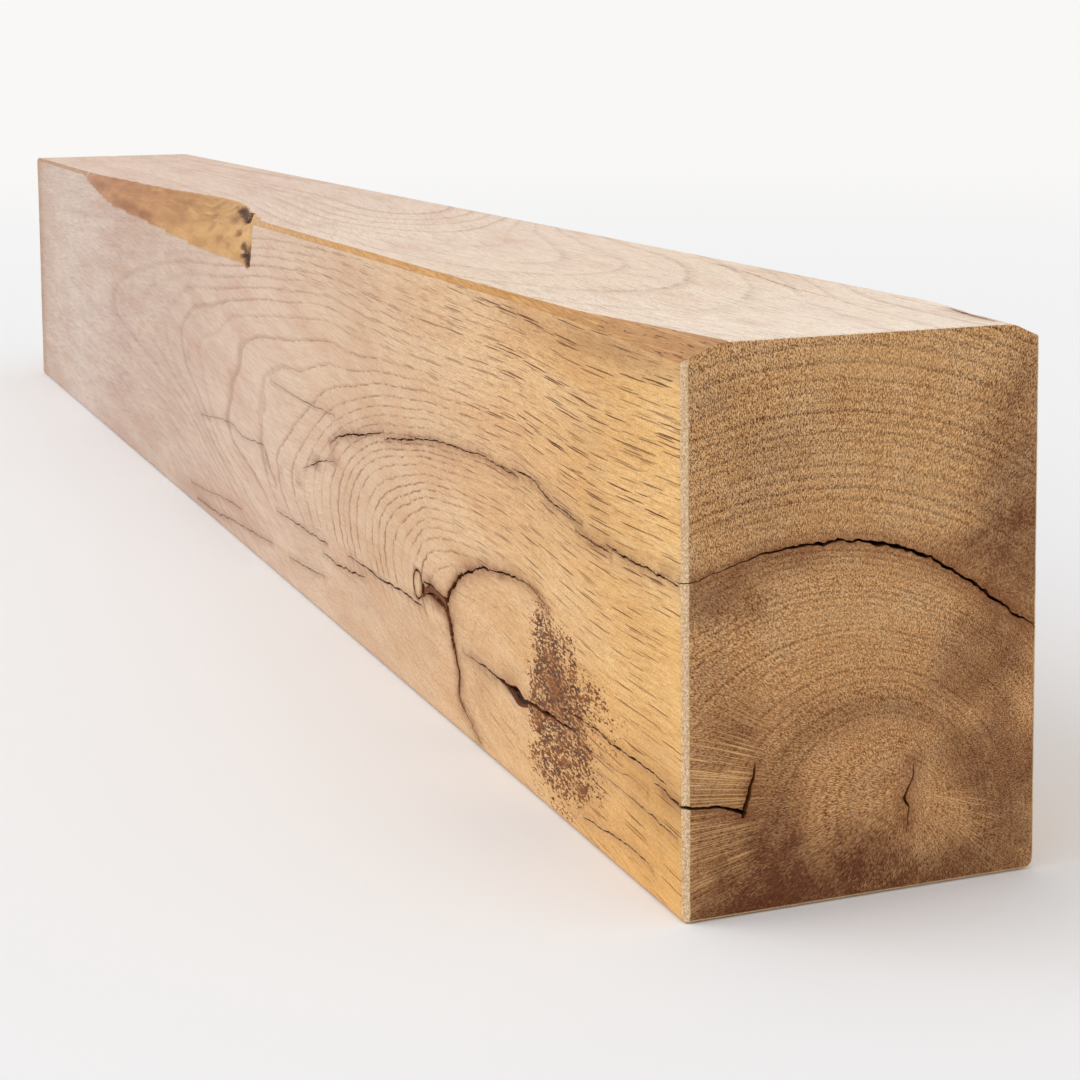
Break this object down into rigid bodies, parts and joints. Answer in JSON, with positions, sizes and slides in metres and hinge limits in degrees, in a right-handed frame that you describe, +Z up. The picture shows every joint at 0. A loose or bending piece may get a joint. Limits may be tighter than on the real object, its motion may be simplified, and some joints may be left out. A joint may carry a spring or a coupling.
{
  "type": "mantel beam",
  "caption": "Solid oak floating mantel beam, square sawn and sanded, with a waney edge, ring shake, knot checks and blind rod bores in its back.",
  "frame": {"origin": "middle of the bottom face", "axes": "+X along the beam towards the end with the ring shake, +Y towards the wall, +Z up"},
  "size_m": [1.067, 0.105, 0.15],
  "materials": {
    "oak": "sanded and oiled, satin"
  },
  "bodies": {
    "root": {"oak_beam": "oak"}
  },
  "joints": []
}
